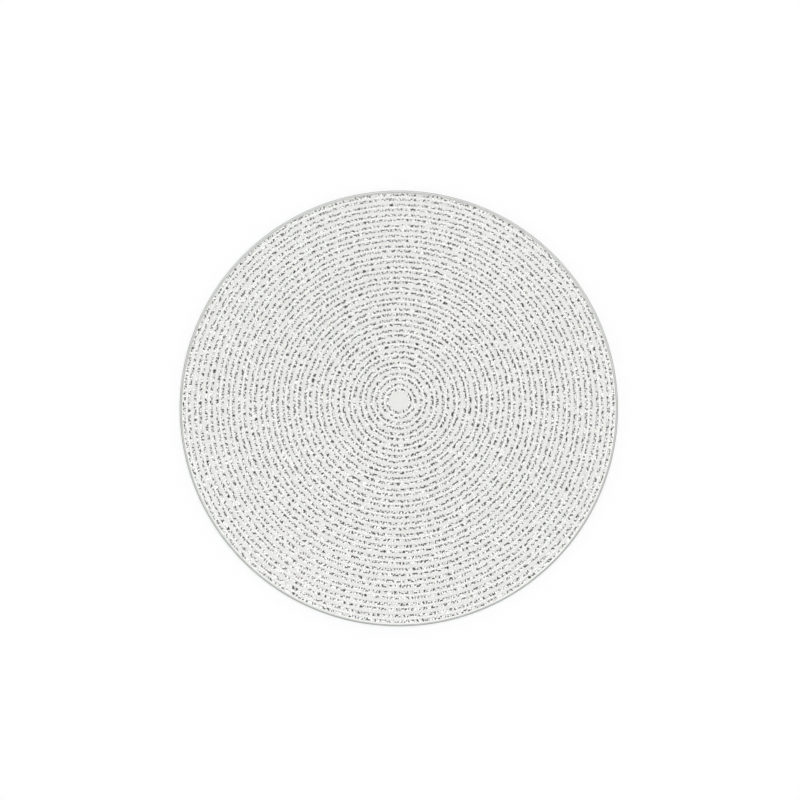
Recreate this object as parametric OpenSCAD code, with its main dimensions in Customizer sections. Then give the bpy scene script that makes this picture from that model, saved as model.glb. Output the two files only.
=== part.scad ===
// Round mirror plate to stand a candle on. A glass disc is silvered and painted on its underside,
// and carries paired rings of silver glitter, each stuck to a printed line of clear adhesive.
// The plate rests on its painted underside at z = 0, centred on the Z axis. Millimetres.

/* [Glass disc] */
// Diameter of the round glass
plate_d = 150; // [100:1:200]
// Thickness of the glass sheet
glass_t = 2.8; // [2:0.1:6]
// Width of the ground arris along both rims of the glass
arris_w = 0.3; // [0.1:0.05:0.8]

/* [Underside] */
// Thickness of the silver film on the underside of the glass
film_t = 0.01; // [0.01:0.005:0.05]
// Thickness of the grey paint that protects the film
paint_t = 0.04; // [0.03:0.01:0.2]

/* [Ring layout] */
// Radius of the innermost ring, at the middle of its line
first_ring_r = 3.93; // [2:0.01:12]
// Distance from one pair of rings to the next
pair_pitch = 3.76; // [3.3:0.01:8]
// Distance between the two rings of a pair
ring_step = 1.72; // [1.3:0.01:2.4]
// Least bare rim left outside the last ring
bare_rim = 1.2; // [0.8:0.1:20]

/* [Glitter rings] */
// Width of the inner ring of each pair
inner_ring_w = 0.9; // [0.6:0.05:1.2]
// Width of the outer ring of each pair
outer_ring_w = 0.8; // [0.6:0.05:1.2]
// Width of the rounded shoulder along each side of a ring
ring_shoulder = 0.2; // [0.1:0.01:0.25]
// Thickness of the glitter on top of its adhesive line
crust_t = 0.09; // [0.05:0.01:0.2]

/* [Adhesive lines] */
// Height of an adhesive line above the glass
bead_h = 0.06; // [0.04:0.01:0.1]
// Width of the rounded shoulder along each side of an adhesive line
bead_shoulder = 0.1; // [0.05:0.01:0.12]
// How far the glitter laps over each side of its adhesive line
glitter_lap = 0.15; // [0.05:0.01:0.2]

/* [Hidden] */
// Levels of the stack, from the resting face up
film_z = paint_t;
glass_z = film_z + film_t;
top_z = glass_z + glass_t;

// Outline of the glass, and of the flat face left inside its arris
plate_r = plate_d / 2;
face_r = plate_r - arris_w;

// As many pairs of rings as the glass takes inside its bare rim
last_ring_max_r = plate_r - bare_rim - outer_ring_w / 2;
pair_count = floor((last_ring_max_r - ring_step - first_ring_r) / pair_pitch) + 1;
ring_count = 2 * pair_count;

// Height of a ring's crest above the glass
crest_h = bead_h + crust_t;

// Odd rings are the inner ones of their pairs, even rings the outer ones
function is_inner(k) = k % 2 == 1;
function ring_r(k) = first_ring_r + floor((k - 1) / 2) * pair_pitch + (is_inner(k) ? 0 : ring_step);
function ring_w(k) = is_inner(k) ? inner_ring_w : outer_ring_w;
function bead_w(k) = ring_w(k) - 2 * glitter_lap;
function ring_name(k) = str("glitter_ring_", k < 10 ? "0" : "", k);

// How far the centre of an arc lies below the glass, when the arc stands on the glass foot_w wide
// and has drawn in by shoulder_w on each side at height h
function arc_drop(foot_w, shoulder_w, h) =
    (pow(foot_w / 2, 2) - pow(foot_w / 2 - shoulder_w, 2) - h * h) / (2 * h);

// Segments of a ring seen from above, and of the small arcs in a ring's section
round_fn = 240;
arc_fn = 96;

glass_colour = [0.83, 0.87, 0.85, 0.45];
film_colour = [0.86, 0.87, 0.87];
paint_colour = [0.45, 0.47, 0.47];
adhesive_colour = [0.93, 0.93, 0.9];
glitter_colour = [0.72, 0.72, 0.73];

// Section that stands on y = 0, foot_w wide, with rounded shoulders and a flat top at height h.
// A root carries its arcs on below y = 0, for cutting.
module mound(foot_w, shoulder_w, h, root = 0) {
    drop = arc_drop(foot_w, shoulder_w, h);
    intersection() {
        translate([0, -drop])
            circle(r = norm([foot_w / 2, drop]), $fn = arc_fn);
        translate([-foot_w, -root])
            square([2 * foot_w, root + h]);
    }
}

// Section of an adhesive line
module bead_section(k, root = 0) {
    mound(bead_w(k), bead_shoulder, bead_h, root);
}

// Section of a glitter ring, hollowed to seat on its adhesive line with both feet on the glass
module glitter_section(k) {
    difference() {
        mound(ring_w(k), ring_shoulder, crest_h);
        bead_section(k, root = crest_h);
    }
}

// Sweeps a section around the plate's axis, on top of the glass, at the radius of ring k
module on_ring(k) {
    translate([0, 0, top_z])
        rotate_extrude($fn = round_fn)
            translate([ring_r(k), 0])
                children();
}

module glass_disc() {
    color(glass_colour)
        translate([0, 0, glass_z])
            rotate_extrude($fn = round_fn)
                polygon([
                    [0, 0],
                    [face_r, 0],
                    [plate_r, arris_w],
                    [plate_r, glass_t - arris_w],
                    [face_r, glass_t],
                    [0, glass_t],
                ]);
}

// The film and the paint end where the lower arris begins, because grinding takes them off there
module silver_film() {
    color(film_colour)
        translate([0, 0, film_z])
            cylinder(r = face_r, h = film_t, $fn = round_fn);
}

module backing_paint() {
    color(paint_colour)
        cylinder(r = face_r, h = paint_t, $fn = round_fn);
}

// One printed layer: a separate line of clear adhesive under every glitter ring
module adhesive_print() {
    color(adhesive_colour)
        for (k = [1 : ring_count])
            on_ring(k)
                bead_section(k);
}

module glitter_ring(k) {
    color(glitter_colour)
        on_ring(k)
            glitter_section(k);
}

glass_disc();
silver_film();
backing_paint();
adhesive_print();
for (k = [1 : ring_count])
    glitter_ring(k);
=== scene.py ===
import math

import bpy
import numpy as np
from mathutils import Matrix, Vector


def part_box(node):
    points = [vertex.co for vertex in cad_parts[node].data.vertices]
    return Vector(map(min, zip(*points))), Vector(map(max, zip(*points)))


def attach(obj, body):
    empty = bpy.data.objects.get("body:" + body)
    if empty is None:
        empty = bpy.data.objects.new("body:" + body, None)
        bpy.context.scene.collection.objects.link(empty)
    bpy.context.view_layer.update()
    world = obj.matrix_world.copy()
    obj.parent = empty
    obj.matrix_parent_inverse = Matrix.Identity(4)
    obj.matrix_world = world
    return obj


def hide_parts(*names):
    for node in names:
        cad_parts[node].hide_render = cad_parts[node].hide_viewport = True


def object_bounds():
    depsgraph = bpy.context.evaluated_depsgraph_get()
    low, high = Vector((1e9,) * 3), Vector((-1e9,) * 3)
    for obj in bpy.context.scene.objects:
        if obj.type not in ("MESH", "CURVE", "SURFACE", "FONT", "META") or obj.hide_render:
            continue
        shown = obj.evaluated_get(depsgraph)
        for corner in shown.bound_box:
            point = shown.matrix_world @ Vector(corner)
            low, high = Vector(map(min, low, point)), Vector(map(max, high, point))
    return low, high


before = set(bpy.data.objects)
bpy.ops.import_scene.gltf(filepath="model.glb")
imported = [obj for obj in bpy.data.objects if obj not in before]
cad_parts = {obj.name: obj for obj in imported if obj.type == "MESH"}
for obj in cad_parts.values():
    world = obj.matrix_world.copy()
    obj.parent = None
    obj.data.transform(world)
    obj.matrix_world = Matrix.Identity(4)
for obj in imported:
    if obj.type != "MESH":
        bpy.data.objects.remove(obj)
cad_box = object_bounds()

# Glass disc: clear float glass of the nominal 3 mm sheet, cut round. Its faces keep their drawn polish.
# The edge and the narrow arris along each rim are ground with a wet wheel, which leaves them satin.
MM = 0.001
ARRIS = 0.3
ARRIS_TURN = 45
ARRIS_CORNER = 0.06
CORNER_POINTS = 5
EDGE_TURNS = 480
# Radii of the loops of points on the flat faces, and how far inside the arris the last loop lies.
FACE_LOOPS = (0.001, 18, 36, 54)
LAST_LOOP_IN = 1.5
# The glass laps a little over the layers on both of its faces, so that no two faces coincide.
LAYER_SEAT = 0.003
glass_low, glass_high = (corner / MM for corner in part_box("glass_disc"))
plate_r = min(glass_high.x, glass_high.y, -glass_low.x, -glass_low.y)
face_r = plate_r - ARRIS
glass_bottom = glass_low.z - LAYER_SEAT
glass_top = glass_high.z + LAYER_SEAT


def mesh_piece(name, points, corners, sides):
    """Piece from points in mm, the point under each face corner, and how many corners each face has."""
    mesh = bpy.data.meshes.new(name)
    mesh.vertices.add(len(points))
    mesh.vertices.foreach_set("co", (np.asarray(points) * MM).astype(np.float32).ravel())
    mesh.loops.add(len(corners))
    mesh.loops.foreach_set("vertex_index", np.asarray(corners, np.int32))
    mesh.polygons.add(len(sides))
    first_corner = np.concatenate(([0], np.cumsum(sides)[:-1])).astype(np.int32)
    mesh.polygons.foreach_set("loop_start", first_corner)
    mesh.update(calc_edges=True)
    mesh.validate()
    piece = bpy.data.objects.new(name, mesh)
    bpy.context.scene.collection.objects.link(piece)
    return piece


def turned_band(turns, count):
    """Corners of the quads that an open section of count points leaves, turned once round the axis."""
    turn, step = np.meshgrid(np.arange(turns), np.arange(count - 1), indexing="ij")
    here = turn * count + step
    after = (turn + 1) % turns * count + step
    quads = np.stack([here, after, after + 1, here + 1], -1)
    return quads.reshape(-1, 4), step.ravel()


def rounded_corner(at, start_deg):
    """Points of the small arc that rounds a corner of the arris."""
    angles = np.radians(start_deg + ARRIS_TURN * np.linspace(0, 1, CORNER_POINTS))
    return [(at[0] + ARRIS_CORNER * math.cos(a), at[1] + ARRIS_CORNER * math.sin(a)) for a in angles]


def glass_section():
    """Half section of the disc, from the middle of its underside to the middle of its top."""
    slack = ARRIS_CORNER * math.tan(math.radians(ARRIS_TURN / 2))
    face_in = face_r - slack
    edge_in = plate_r - ARRIS_CORNER
    loops = (*FACE_LOOPS, face_in - LAST_LOOP_IN)
    rounded = (
        (face_in, glass_bottom + ARRIS_CORNER),
        (edge_in, glass_bottom + ARRIS + slack),
        (edge_in, glass_top - ARRIS - slack),
        (face_in, glass_top - ARRIS_CORNER),
    )
    section = [(r, glass_bottom) for r in loops]
    for step, corner in enumerate(rounded):
        section += rounded_corner(corner, (step - 2) * ARRIS_TURN)
    section += [(r, glass_top) for r in reversed(loops)]
    return np.array(section), len(loops)


section, flat_count = glass_section()
turn_angles = np.linspace(0, 2 * math.pi, EDGE_TURNS, endpoint=False)
disc_points = np.stack(
    [
        np.outer(np.cos(turn_angles), section[:, 0]),
        np.outer(np.sin(turn_angles), section[:, 0]),
        np.tile(section[:, 1], (EDGE_TURNS, 1)),
    ],
    -1,
).reshape(-1, 3)
disc_quads, disc_step = turned_band(EDGE_TURNS, len(section))
low_hub = np.arange(EDGE_TURNS)[::-1] * len(section)
high_hub = np.arange(EDGE_TURNS) * len(section) + len(section) - 1
glass = mesh_piece(
    "glass_plate",
    disc_points,
    np.concatenate([disc_quads.ravel(), low_hub, high_hub]),
    np.concatenate([np.full(len(disc_quads), 4), [EDGE_TURNS, EDGE_TURNS]]),
)
on_edge = (disc_step >= flat_count) & (disc_step < len(section) - flat_count - 1)
on_edge = np.concatenate([on_edge, [False, False]])
glass.data.polygons.foreach_set("use_smooth", on_edge)
glass.data.polygons.foreach_set("material_index", on_edge.astype(np.int32))


def node_adder(tree):
    """Helper that adds a node to a tree, with values for its sockets or its settings."""

    def add(kind, **settings):
        node = tree.nodes.new(kind)
        for key, value in settings.items():
            if key in node.inputs:
                node.inputs[key].default_value = value
            else:
                setattr(node, key, value)
        return node

    return add


def new_material(name):
    """Material with a Principled BSDF, and helpers that add a node to it and link two sockets."""
    material = bpy.data.materials.new(name)
    material.use_nodes = True
    tree = material.node_tree
    return material, tree.nodes["Principled BSDF"], node_adder(tree), tree.links.new


def mottle_group():
    """Soft cloudy variation at a given size, between a low and a high value."""
    group = bpy.data.node_groups.new("Mottle", "ShaderNodeTree")
    for name, start in (("Spots per metre", 400.0), ("Low", 0.0), ("High", 1.0)):
        socket = group.interface.new_socket(name, in_out="INPUT", socket_type="NodeSocketFloat")
        socket.default_value = start
    group.interface.new_socket("Value", in_out="OUTPUT", socket_type="NodeSocketFloat")
    add = node_adder(group)
    link = group.links.new
    given = add("NodeGroupInput")
    out = add("NodeGroupOutput")
    place = add("ShaderNodeTexCoord")
    noise = add("ShaderNodeTexNoise", Detail=3.0)
    spread = add("ShaderNodeMapRange", **{"From Min": 0.3, "From Max": 0.7})
    link(place.outputs["Object"], noise.inputs["Vector"])
    link(given.outputs["Spots per metre"], noise.inputs["Scale"])
    link(noise.outputs["Fac"], spread.inputs["Value"])
    link(given.outputs["Low"], spread.inputs["To Min"])
    link(given.outputs["High"], spread.inputs["To Max"])
    link(spread.outputs["Result"], out.inputs["Value"])
    return group


mottle = mottle_group()


def add_mottle(add, spots_per_metre, low=0.0, high=1.0):
    """Output of a Mottle group added to a material."""
    node = add("ShaderNodeGroup", node_tree=mottle)
    node.inputs["Spots per metre"].default_value = spots_per_metre
    node.inputs["Low"].default_value = low
    node.inputs["High"].default_value = high
    return node.outputs["Value"]


def colour_ramp(add, stops):
    """Colour ramp from stops of (position, (red, green, blue))."""
    node = add("ShaderNodeValToRGB")
    while len(node.color_ramp.elements) < len(stops):
        node.color_ramp.elements.new(0.5)
    for element, (position, colour) in zip(node.color_ramp.elements, stops):
        element.position = position
        element.color = (*colour, 1.0)
    return node


CLEAR_GLASS = (0.856, 0.857, 0.84, 1.0)
clear_glass, shader, add, link = new_material("clear_glass")
shader.inputs["Base Color"].default_value = CLEAR_GLASS
shader.inputs["Transmission Weight"].default_value = 1.0
shader.inputs["IOR"].default_value = 1.52
link(add_mottle(add, 60.0, low=0.0, high=0.012), shader.inputs["Roughness"])

# Painted light and shade up the ground edge, by height: painted shade at its foot, a lighter band low
# on the edge and a darker one high on it, and a painted highlight on the lip that catches the light.
GROUND_FOOT_SHADE = (0.22, 0.235, 0.228)
GROUND_LOW = (0.37, 0.39, 0.38)
GROUND_MID = (0.25, 0.268, 0.26)
GROUND_HIGH = (0.185, 0.2, 0.193)
GROUND_LIP_HIGHLIGHT = (0.37, 0.382, 0.375)
GROUND_INSIDE = (0.84, 0.85, 0.83, 1.0)
WHEEL_MARKS_PER_METRE = (450.0, 450.0, 16000.0)
MARK_SHADE = (0.72, 0.72, 0.72)
MARK_SHINE = (1.25, 1.25, 1.25)
ground_glass, shader, add, link = new_material("ground_glass_edge")
place = add("ShaderNodeTexCoord")
height = add("ShaderNodeSeparateXYZ")
up_the_edge = add(
    "ShaderNodeMapRange",
    **{"From Min": glass_bottom * MM, "From Max": glass_top * MM, "To Min": 0.0, "To Max": 1.0},
)
edge_tone = colour_ramp(
    add,
    [
        (0.06, GROUND_FOOT_SHADE),
        (0.16, GROUND_LOW),
        (0.36, GROUND_LOW),
        (0.5, GROUND_MID),
        (0.86, GROUND_HIGH),
        (0.9, GROUND_LIP_HIGHLIGHT),
    ],
)
link(place.outputs["Object"], height.inputs["Vector"])
link(height.outputs["Z"], up_the_edge.inputs["Value"])
link(up_the_edge.outputs["Result"], edge_tone.inputs["Fac"])
wheel_marks_place = add("ShaderNodeMapping", Scale=WHEEL_MARKS_PER_METRE)
wheel_marks = add("ShaderNodeTexNoise", Scale=1.0, Detail=3.0)
mark_tone = colour_ramp(add, [(0.3, MARK_SHADE), (0.7, MARK_SHINE)])
marked_tone = add("ShaderNodeMix", data_type="RGBA", blend_type="MULTIPLY")
marked_tone.inputs["Factor"].default_value = 1.0
link(place.outputs["Object"], wheel_marks_place.inputs["Vector"])
link(wheel_marks_place.outputs["Vector"], wheel_marks.inputs["Vector"])
link(wheel_marks.outputs["Fac"], mark_tone.inputs["Fac"])
link(edge_tone.outputs["Color"], marked_tone.inputs["A"])
link(mark_tone.outputs["Color"], marked_tone.inputs["B"])
link(marked_tone.outputs["Result"], shader.inputs["Base Color"])
link(add_mottle(add, 900.0, low=0.34, high=0.52), shader.inputs["Roughness"])
mark_bump = add("ShaderNodeBump", Strength=0.25, Distance=0.00002)
link(wheel_marks.outputs["Fac"], mark_bump.inputs["Height"])
link(mark_bump.outputs["Normal"], shader.inputs["Normal"])
# Seen through the glass, the ground edge glows with the light that comes in through it.
seen_from = add("ShaderNodeNewGeometry")
light_through = add("ShaderNodeBsdfTranslucent", Color=GROUND_INSIDE)
either_side = add("ShaderNodeMixShader")
link(seen_from.outputs["Backfacing"], either_side.inputs["Fac"])
link(shader.outputs["BSDF"], either_side.inputs[1])
link(light_through.outputs["BSDF"], either_side.inputs[2])
ground_surface = ground_glass.node_tree.nodes["Material Output"].inputs["Surface"]
link(either_side.outputs["Shader"], ground_surface)

glass.data.materials.append(clear_glass)
glass.data.materials.append(ground_glass)
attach(glass, "root")
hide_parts("glass_disc")

# Silver film: the mirror coat, a thin layer of chemical silver bonded to the underside of the glass.
# It shows bright through every gap between the rings.
SILVER = (0.965, 0.965, 0.955, 1.0)
silver, shader, add, link = new_material("mirror_silver")
shader.inputs["Base Color"].default_value = SILVER
shader.inputs["Metallic"].default_value = 1.0
link(add_mottle(add, 150.0, low=0.03, high=0.07), shader.inputs["Roughness"])


def coat_node(name, material):
    """Gives a part that keeps its own solid its finish."""
    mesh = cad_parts[name].data
    mesh.materials.clear()
    mesh.materials.append(material)


coat_node("silver_film", silver)

# Backing paint: the grey lacquer rolled over the silver, which protects it from scratches and damp.
# The plate rests on it. It dries matt, with the fine orange peel of a roller.
PAINT_DARK = (0.16, 0.17, 0.168)
PAINT_LIGHT = (0.2, 0.212, 0.21)


def mottled_material(name, metallic, tones, tone_spots, roughness, rough_spots):
    """Material whose colour drifts through tones, and its roughness between two values."""
    material, shader, add, link = new_material(name)
    shader.inputs["Metallic"].default_value = metallic
    tone = colour_ramp(add, tones)
    link(add_mottle(add, tone_spots), tone.inputs["Fac"])
    link(tone.outputs["Color"], shader.inputs["Base Color"])
    link(add_mottle(add, rough_spots, *roughness), shader.inputs["Roughness"])
    return material, shader, add, link


paint, shader, add, link = mottled_material(
    "backing_paint",
    metallic=0.0,
    tones=[(0.0, PAINT_DARK), (1.0, PAINT_LIGHT)],
    tone_spots=250.0,
    roughness=(0.55, 0.75),
    rough_spots=1500.0,
)
peel_place = add("ShaderNodeTexCoord")
peel = add("ShaderNodeTexNoise", Scale=1200.0, Detail=2.0)
peel_bump = add("ShaderNodeBump", Strength=0.3, Distance=0.00005)
link(peel_place.outputs["Object"], peel.inputs["Vector"])
link(peel.outputs["Fac"], peel_bump.inputs["Height"])
link(peel_bump.outputs["Normal"], shader.inputs["Normal"])
coat_node("backing_paint", paint)

# Adhesive print: low lines of clear water-based adhesive, screen printed on the glass, one under each
# ring. Dried, it is slightly cloudy. The glitter is strewn on while it is wet, and hides it from above.
ADHESIVE_THIN = (0.92, 0.92, 0.91)
ADHESIVE_THICK = (0.97, 0.97, 0.965)
adhesive, *_ = mottled_material(
    "adhesive",
    metallic=0.9,
    tones=[(0.0, ADHESIVE_THIN), (1.0, ADHESIVE_THICK)],
    tone_spots=1200.0,
    roughness=(0.18, 0.34),
    rough_spots=2500.0,
)


def keep_out_of_mirror(piece):
    """Hides the back of a printed line from the mirror below, which would show it as a dark line."""
    piece.visible_glossy = False
    piece.visible_transmission = False


coat_node("adhesive_print", adhesive)
keep_out_of_mirror(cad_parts["adhesive_print"])

# Glitter rings: closed bands of silvered flakes in a bed of fines, in pairs, each on its own line of
# adhesive. The flakes lie in two rough rows, tilted a little, and their crests are pressed level. A few
# fine chips missed the adhesive and lie on the glass between the rings, most of them inside a pair.
FIRST_RING_R = 3.93
PAIR_PITCH = 3.76
RING_STEP = 1.72
INNER_RING_W = 0.9
OUTER_RING_W = 0.8
glass_face = glass_high.z
ring_count = sum(name.startswith("glitter_ring_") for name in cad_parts)
crest_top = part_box("glitter_ring_38")[1].z / MM


def ring_radius(k):
    """Radius of ring k at the middle of its line. Odd rings are the inner ones of their pairs."""
    return FIRST_RING_R + (k - 1) // 2 * PAIR_PITCH + (RING_STEP if k % 2 == 0 else 0)


def ring_width(k):
    return OUTER_RING_W if k % 2 == 0 else INNER_RING_W


def polar(distance, angle):
    """Points in the plane of the plate."""
    return np.stack([distance * np.cos(angle), distance * np.sin(angle)], -1)


# The bed and the hollow under it, as shares of their half widths and heights.
BED_SECTION = (
    (-1, 0),
    (-0.86, 0.62),
    (-0.6, 1),
    (-0.32, 1),
    (-0.05, 1),
    (0.24, 1),
    (0.55, 1),
    (0.84, 0.62),
    (1, 0),
)
HOLLOW_SECTION = ((1, 0), (0.84, 0.6), (0.6, 1), (0, 1), (-0.6, 1), (-0.84, 0.6), (-1, 0))
GLITTER_LAP = 0.15
ADHESIVE_TOP = 0.06
ADHESIVE_CLEARANCE = 0.003
BED_CREST = 0.088
BED_STEP = 0.3
BED_ROUGH = 0.011
BED_SIDE_JITTER = 0.03
BED_TURN_JITTER = 0.2


def bed_of(k, rng):
    """Bumpy ring of fines, hollowed to sit over its line of adhesive with both feet on the glass."""
    half = ring_width(k) / 2
    bed = np.array(BED_SECTION) * (half, BED_CREST)
    hollow = np.array(HOLLOW_SECTION) * (half - GLITTER_LAP, ADHESIVE_TOP + ADHESIVE_CLEARANCE)
    section = np.concatenate([bed, hollow])
    count = len(section)
    turns = int(2 * math.pi * ring_radius(k) / BED_STEP)
    radial = np.tile(section[:, 0], (turns, 1))
    level = np.tile(section[:, 1], (turns, 1))
    crown = slice(1, len(bed) - 1)
    rough = rng.uniform(-1, 1, (turns, len(bed) - 2)) * BED_ROUGH
    level[:, crown] += rough
    radial[:, crown] += rng.uniform(-BED_SIDE_JITTER, BED_SIDE_JITTER, rough.shape)
    angle = (np.arange(turns) + 0.5) * 2 * math.pi / turns
    turn_jitter = rng.uniform(-BED_TURN_JITTER, BED_TURN_JITTER, radial.shape)
    angle = angle[:, None] + turn_jitter * 2 * math.pi / turns
    flat = polar(ring_radius(k) + radial, angle)
    points = np.concatenate([flat, (glass_face + level)[..., None]], -1)
    turn, step = np.meshgrid(np.arange(turns), np.arange(count), indexing="ij")
    here = turn * count
    after = (turn + 1) % turns * count
    beyond = (step + 1) % count
    quads = np.stack([after + step, after + beyond, here + beyond, here + step], -1)
    is_under = (step >= len(bed) - 1).ravel()
    return points.reshape(-1, 3), quads.reshape(-1, 4), is_under


CORNER_JITTER = 0.3


def corner_angles(count, sides, rng):
    """Angles of the corners of count uneven polygons."""
    jitter = rng.uniform(-CORNER_JITTER, CORNER_JITTER, (count, sides))
    return (np.arange(sides) + jitter) * 2 * math.pi / sides


def closed_chips(upper, lower):
    """Closed chips from the corners of their upper and lower faces."""
    count, around = upper.shape[:2]
    points = np.concatenate([upper, lower], 1).reshape(-1, 3)
    first = np.arange(count)[:, None] * 2 * around
    side = np.arange(around)
    after = (side + 1) % around
    walls = np.stack([side + around, after + around, after, side], -1).ravel()
    caps = np.concatenate([side, side[::-1] + around])
    corners = (first + np.concatenate([caps, walls])[None, :]).ravel()
    sides = np.tile([around, around] + [4] * around, count)
    return points, corners, sides


# Tones run from 0, black, to 1. Flakes below DARK_SHARE are painted dark: painted shade for flakes that
# face away from the light. Towards the rim each tone rises by up to RIM_PALER of what it lacks of 1,
# painted light that makes the flakes paler there.
DARK_SHARE = 0.32
TONE_RUN = 18
RIM_PALER = 0.12


def even_tones(count, rng):
    """Tones dealt out so that each short stretch of a ring gets dark and bright flakes alike."""
    runs = np.tile(np.arange(TONE_RUN), (count // TONE_RUN + 1, 1))
    dealt = rng.permuted(runs, axis=1).ravel()[:count]
    return (dealt + rng.uniform(0, 1, count)) / TONE_RUN


FLAKE_SIDES = 5
FLAKE_SIZE = (0.58, 0.82)
FLAKE_NARROW = (0.5, 0.75)
FLAKE_CORNER_REACH = (0.75, 1.1)
FLAKE_BEVEL = 0.86
DARK_SIZE = 1.12


def flake_outlines(size, rng):
    """Uneven, narrow outline of each flake, turned at random."""
    count = len(size)
    corner = corner_angles(count, FLAKE_SIDES, rng)
    reach = size[:, None] * rng.uniform(*FLAKE_CORNER_REACH, (count, FLAKE_SIDES))
    along = reach * np.cos(corner)
    across = reach * np.sin(corner) * rng.uniform(*FLAKE_NARROW, (count, 1))
    facing = rng.uniform(0, 2 * math.pi, (count, 1))
    flat_x = along * np.cos(facing) - across * np.sin(facing)
    flat_y = along * np.sin(facing) + across * np.cos(facing)
    return np.stack([flat_x, flat_y], -1)


FLAKE_THICK = (0.035, 0.06)
USUAL_TILT = 8
LEAST_TILT = 1
MOST_TILT = 18
# A flake's middle lies below the crest by a depth and by a share of the flake's own lift. Corners that
# would still stand above the crest are pressed level with it.
DARK_DEPTH = (0.0, 0.004)
BRIGHT_DEPTH = (0.012, 0.03)
DARK_LIFT_SHARE = 0.2
BRIGHT_LIFT_SHARE = 0.75
LOWEST_TOP = 0.045
LOWEST_FOOT = 0.01
LEAST_THICK = 0.02


def flake_levels(flat, thick, dark, rng):
    """Levels of each flake's corners on its upper and its lower face."""
    count = len(flat)
    tilt = np.radians(np.clip(np.abs(rng.normal(0, USUAL_TILT, count)), LEAST_TILT, MOST_TILT))
    lean = rng.uniform(0, 2 * math.pi, count)
    slope = polar(1, lean) * np.tan(tilt)[:, None]
    lift = (flat * slope[:, None, :]).sum(-1)
    depth = np.where(dark, rng.uniform(*DARK_DEPTH, count), rng.uniform(*BRIGHT_DEPTH, count))
    lift_share = np.where(dark, DARK_LIFT_SHARE, BRIGHT_LIFT_SHARE)
    middle = crest_top - np.abs(lift).max(1) * lift_share - depth
    top = middle[:, None] + lift
    low = top - thick[:, None]
    top = np.clip(top, glass_face + LOWEST_TOP, crest_top)
    low = np.clip(low, glass_face + LOWEST_FOOT, crest_top - LEAST_THICK)
    return top[..., None], low[..., None]


FLAKE_PITCH = 0.44
FLAKE_TURN_JITTER = 0.35
FLAKE_SIDE_JITTER = 0.07
ROW_OFFSET = 0.2


def flakes_of(k, rng):
    """Flakes of ring k in two rough rows, and the tone of each face."""
    radius = ring_radius(k)
    per_row = int(round(2 * math.pi * radius / FLAKE_PITCH))
    count = 2 * per_row
    turn_jitter = rng.uniform(-FLAKE_TURN_JITTER, FLAKE_TURN_JITTER, count)
    turn = (np.arange(count) / count + turn_jitter / count) * 2 * math.pi
    row = np.tile([-1, 1], per_row) * ROW_OFFSET * ring_width(k) / INNER_RING_W
    out = radius + row + rng.uniform(-FLAKE_SIDE_JITTER, FLAKE_SIDE_JITTER, count)
    # Painted light: the flakes' tones are raised towards the rim.
    paler = 1 - RIM_PALER * (radius / plate_r) ** 2
    tone = 1 - (1 - even_tones(count, rng)) * paler
    dark = tone < DARK_SHARE
    size = rng.uniform(*FLAKE_SIZE, count) / 2 * np.where(dark, DARK_SIZE, 1)
    thick = rng.uniform(*FLAKE_THICK, count)
    flat = flake_outlines(size, rng)
    top, low = flake_levels(flat, thick, dark, rng)
    centre = polar(out, turn)[:, None]
    upper = np.concatenate([centre + flat * FLAKE_BEVEL, top], -1)
    lower = np.concatenate([centre + flat, low], -1)
    points, corners, sides = closed_chips(upper, lower)
    return points, corners, sides, np.repeat(tone, 2 + FLAKE_SIDES)


# How many chips are strewn along each millimetre of a gap.
STREWN_IN_PAIR = 3.6
STREWN_BETWEEN_PAIRS = 0.8
STREWN_REACH = (0.14, 0.24)
STREWN_HEIGHT = (0.02, 0.05)
STREWN_BEVEL = 0.9
STREWN_SIDES = 3
# Strewn chips take the top of the foil tones, the painted glint.
STREWN_TONE = 1.0
FOOT_CLEARANCE = 0.06


def strewn_past(k, rng):
    """Fine bright chips on the glass between ring k and the next one, and the tone of each face."""
    inside = ring_radius(k) + ring_width(k) / 2 + FOOT_CLEARANCE
    outside = ring_radius(k + 1) - ring_width(k + 1) / 2 - FOOT_CLEARANCE
    per_mm = STREWN_BETWEEN_PAIRS if k % 2 == 0 else STREWN_IN_PAIR
    count = int(2 * math.pi * (inside + outside) / 2 * per_mm) if k < ring_count else 0
    distance = rng.uniform(inside + STREWN_REACH[1], outside - STREWN_REACH[1], count)
    turn = (np.arange(count) + rng.uniform(0, 1, count)) / max(count, 1) * 2 * math.pi
    corner = corner_angles(count, STREWN_SIDES, rng)
    corner += rng.uniform(0, 2 * math.pi, (count, 1))
    flat = polar(rng.uniform(*STREWN_REACH, (count, 1)), corner)
    top = glass_face + rng.uniform(*STREWN_HEIGHT, (count, STREWN_SIDES, 1))
    low = np.full((count, STREWN_SIDES, 1), glass_face)
    centre = polar(distance, turn)[:, None]
    upper = np.concatenate([centre + flat * STREWN_BEVEL, top], -1)
    lower = np.concatenate([centre + flat, low], -1)
    points, corners, sides = closed_chips(upper, lower)
    return points, corners, sides, np.full(len(sides), STREWN_TONE)


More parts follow.
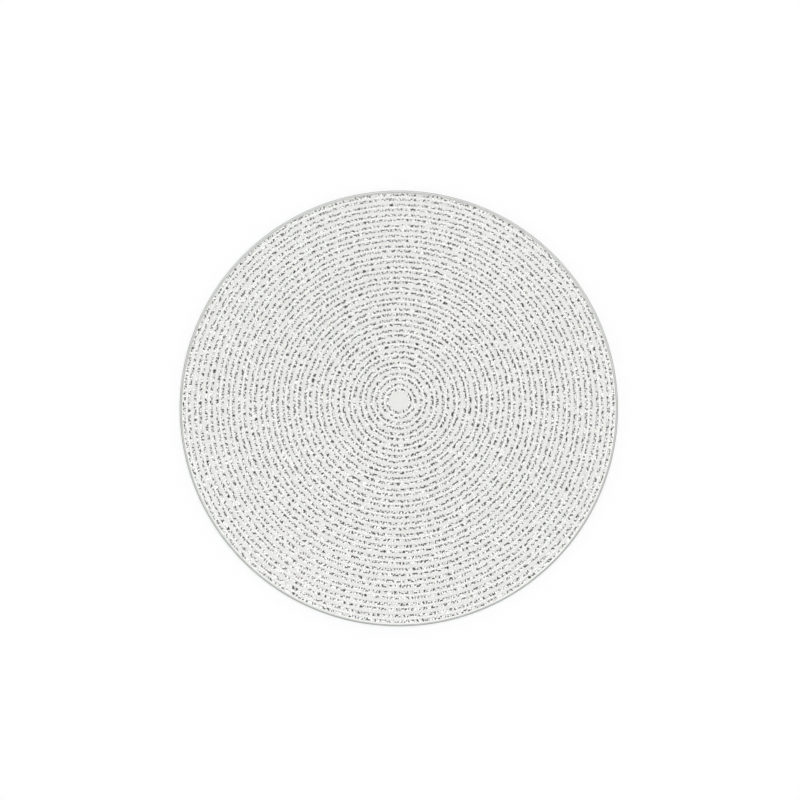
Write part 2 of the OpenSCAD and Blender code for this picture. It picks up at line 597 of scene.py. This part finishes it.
# Foil colours by tone: the flakes' own silver, with painted shade at the dark end and a painted glint
# at the top.
FOIL_DEEPEST_PAINTED_SHADE = (0.02, 0.02, 0.019)
FOIL_PAINTED_SHADE = (0.045, 0.045, 0.043)
FOIL_MID = (0.55, 0.55, 0.535)
FOIL_SILVER = (0.8, 0.8, 0.785)
FOIL_BRIGHT = (0.96, 0.96, 0.94)
FOIL_PAINTED_GLINT = (0.99, 0.99, 0.97)
FOIL_DUSTY = (0.96, 0.96, 0.96)
FOIL_CLEAN = (1.0, 1.0, 1.0)
foil, shader, add, link = new_material("glitter_foil")
shader.inputs["Metallic"].default_value = 0.85
flake_tone = add("ShaderNodeAttribute", attribute_name="foil_silver_and_painted_light")
foil_silver_and_painted_light = colour_ramp(
    add,
    [
        (0.0, FOIL_DEEPEST_PAINTED_SHADE),
        (DARK_SHARE, FOIL_PAINTED_SHADE),
        (DARK_SHARE + 0.01, FOIL_MID),
        (0.45, FOIL_SILVER),
        (0.7, FOIL_BRIGHT),
        (0.96, FOIL_BRIGHT),
        (0.98, FOIL_PAINTED_GLINT),
    ],
)
foil_dust = colour_ramp(add, [(0.0, FOIL_DUSTY), (1.0, FOIL_CLEAN)])
dusted_foil = add("ShaderNodeMix", data_type="RGBA", blend_type="MULTIPLY")
dusted_foil.inputs["Factor"].default_value = 1.0
link(flake_tone.outputs["Fac"], foil_silver_and_painted_light.inputs["Fac"])
link(add_mottle(add, 4000.0), foil_dust.inputs["Fac"])
link(foil_silver_and_painted_light.outputs["Color"], dusted_foil.inputs["A"])
link(foil_dust.outputs["Color"], dusted_foil.inputs["B"])
link(dusted_foil.outputs["Result"], shader.inputs["Base Color"])
link(add_mottle(add, 3000.0, low=0.2, high=0.4), shader.inputs["Roughness"])

# Bed of fines: silver grey in its light patches, and painted shade in its dark ones, which show between
# the flakes.
FINES_PAINTED_SHADE = (0.2, 0.2, 0.2)
FINES_LIGHT = (0.75, 0.75, 0.73)
fines, *_ = mottled_material(
    "glitter_fines",
    metallic=0.6,
    tones=[(0.3, FINES_PAINTED_SHADE), (0.75, FINES_LIGHT)],
    tone_spots=5000.0,
    roughness=(0.3, 0.55),
    rough_spots=6000.0,
)

BACKS_WORN = (0.92, 0.92, 0.915)
BACKS_CLEAN = (0.97, 0.97, 0.965)
backs, *_ = mottled_material(
    "glitter_backs",
    metallic=0.9,
    tones=[(0.0, BACKS_WORN), (1.0, BACKS_CLEAN)],
    tone_spots=5000.0,
    roughness=(0.25, 0.4),
    rough_spots=3000.0,
)

FOIL_SLOT = 0
FINES_SLOT = 1
BACKS_SLOT = 2
FIRST_SEED = 900
for k in range(1, ring_count + 1):
    rng = np.random.default_rng(FIRST_SEED + k)
    bed_points, bed_quads, bed_under = bed_of(k, rng)
    flake_points, flake_corners, flake_sides, flake_tones = flakes_of(k, rng)
    chip_points, chip_corners, chip_sides, chip_tones = strewn_past(k, rng)
    flakes_start = len(bed_points)
    chips_start = flakes_start + len(flake_points)
    ring = mesh_piece(
        f"glitter_grains_{k:02d}",
        np.concatenate([bed_points, flake_points, chip_points]),
        np.concatenate([bed_quads.ravel(), flake_corners + flakes_start, chip_corners + chips_start]),
        np.concatenate([np.full(len(bed_quads), 4), flake_sides, chip_sides]),
    )
    bed_finish = np.where(bed_under, BACKS_SLOT, FINES_SLOT)
    grain_finish = np.full(len(flake_sides) + len(chip_sides), FOIL_SLOT)
    finish = np.concatenate([bed_finish, grain_finish])
    ring.data.polygons.foreach_set("material_index", finish.astype(np.int32))
    tones = np.concatenate([np.zeros(len(bed_quads)), flake_tones, chip_tones])
    face_tone = ring.data.attributes.new("foil_silver_and_painted_light", "FLOAT", "FACE")
    face_tone.data.foreach_set("value", tones.astype(np.float32))
    for material in (foil, fines, backs):
        ring.data.materials.append(material)
    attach(ring, "root")
    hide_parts(f"glitter_ring_{k:02d}")
    keep_out_of_mirror(ring)

# Studio: a white table that runs out of sight and an even white surrounding. A broad lamp almost
# straight above keeps the plate's shadow short and soft, and a small one from the front left makes
# flakes sparkle.
TABLE_SPAN = 8.0
TABLE_WHITE = 0.9
AMBIENT = 0.35
half_span = TABLE_SPAN / 2
table_corners = [
    (-half_span, -half_span, 0),
    (half_span, -half_span, 0),
    (half_span, half_span, 0),
    (-half_span, half_span, 0),
]
table_mesh = bpy.data.meshes.new("studio_table")
table_mesh.from_pydata(table_corners, [], [(0, 1, 2, 3)])
table = bpy.data.objects.new("studio_table", table_mesh)
bpy.context.scene.collection.objects.link(table)
table_finish, shader, add, link = new_material("studio_table")
shader.inputs["Base Color"].default_value = (TABLE_WHITE, TABLE_WHITE, TABLE_WHITE, 1.0)
shader.inputs["Roughness"].default_value = 1.0
shader.inputs["Specular IOR Level"].default_value = 0.0
shader.inputs["Emission Strength"].default_value = 1.0


def seen_directly(add, link):
    """1 for rays from the camera and those that a mirror or glass sends on, and 0 for other rays."""
    path = add("ShaderNodeLightPath")
    either = add("ShaderNodeMath", operation="MAXIMUM")
    any_of = add("ShaderNodeMath", operation="MAXIMUM")
    link(path.outputs["Is Camera Ray"], either.inputs[0])
    link(path.outputs["Is Glossy Ray"], either.inputs[1])
    link(either.outputs["Value"], any_of.inputs[0])
    link(path.outputs["Is Transmission Ray"], any_of.inputs[1])
    return any_of.outputs["Value"]


white_lift = colour_ramp(add, [(0.0, (0.0, 0.0, 0.0)), (1.0, (1 - TABLE_WHITE,) * 3)])
link(seen_directly(add, link), white_lift.inputs["Fac"])
link(white_lift.outputs["Color"], shader.inputs["Emission Color"])
table_mesh.materials.append(table_finish)

world = bpy.data.worlds.new("studio_surround")
world.use_nodes = True
bpy.context.scene.world = world
surround = world.node_tree.nodes["Background"]
surround.inputs["Color"].default_value = (1.0, 1.0, 1.0, 1.0)
add = node_adder(world.node_tree)
link = world.node_tree.links.new
surround_level = add("ShaderNodeMapRange", **{"To Min": AMBIENT, "To Max": 1.0})
link(seen_directly(add, link), surround_level.inputs["Value"])
link(surround_level.outputs["Result"], surround.inputs["Strength"])


def lamp(name, towards, level, spread_deg):
    """Sun lamp that shines from a direction, with level as the light that it adds to the table."""
    light = bpy.data.lights.new(name, "SUN")
    direction = Vector(towards).normalized()
    light.energy = level * math.pi / direction.z
    light.angle = math.radians(spread_deg)
    holder = bpy.data.objects.new(name, light)
    holder.rotation_mode = "QUATERNION"
    holder.rotation_quaternion = direction.to_track_quat("Z", "Y")
    bpy.context.scene.collection.objects.link(holder)
    return holder


broad_lamp = lamp("broad_lamp", towards=(0.03, -0.04, 1.0), level=0.65, spread_deg=55)
broad_lamp.visible_glossy = False
broad_lamp.visible_transmission = False
sparkle_lamp = lamp("sparkle_lamp", towards=(-0.35, -0.45, 1.0), level=0.28, spread_deg=14)
sparkle_lamp.visible_diffuse = False

# Camera: above the plate and a little in front of its middle, so close that the near rim looks larger.
CAMERA_REACH = 0.26
CAMERA_RISE = math.radians(83.4)
LENS = 34.24
AIM_RIGHT = 0.00041
AIM_AWAY = 0.00034
top_middle = Vector((0, 0, cad_box[1].z))
camera_data = bpy.data.cameras.new("camera")
camera_data.lens = LENS
camera_data.clip_start = 0.01
camera_data.clip_end = 50.0
camera = bpy.data.objects.new("camera", camera_data)
bpy.context.scene.collection.objects.link(camera)
camera_direction = Vector((0, -math.cos(CAMERA_RISE), math.sin(CAMERA_RISE)))
camera.location = top_middle + CAMERA_REACH * camera_direction
look = top_middle + Vector((AIM_RIGHT, AIM_AWAY, 0)) - camera.location
camera.rotation_mode = "QUATERNION"
camera.rotation_quaternion = look.to_track_quat("-Z", "Y")
bpy.context.scene.camera = camera
bpy.context.scene.view_settings.view_transform = "Standard"
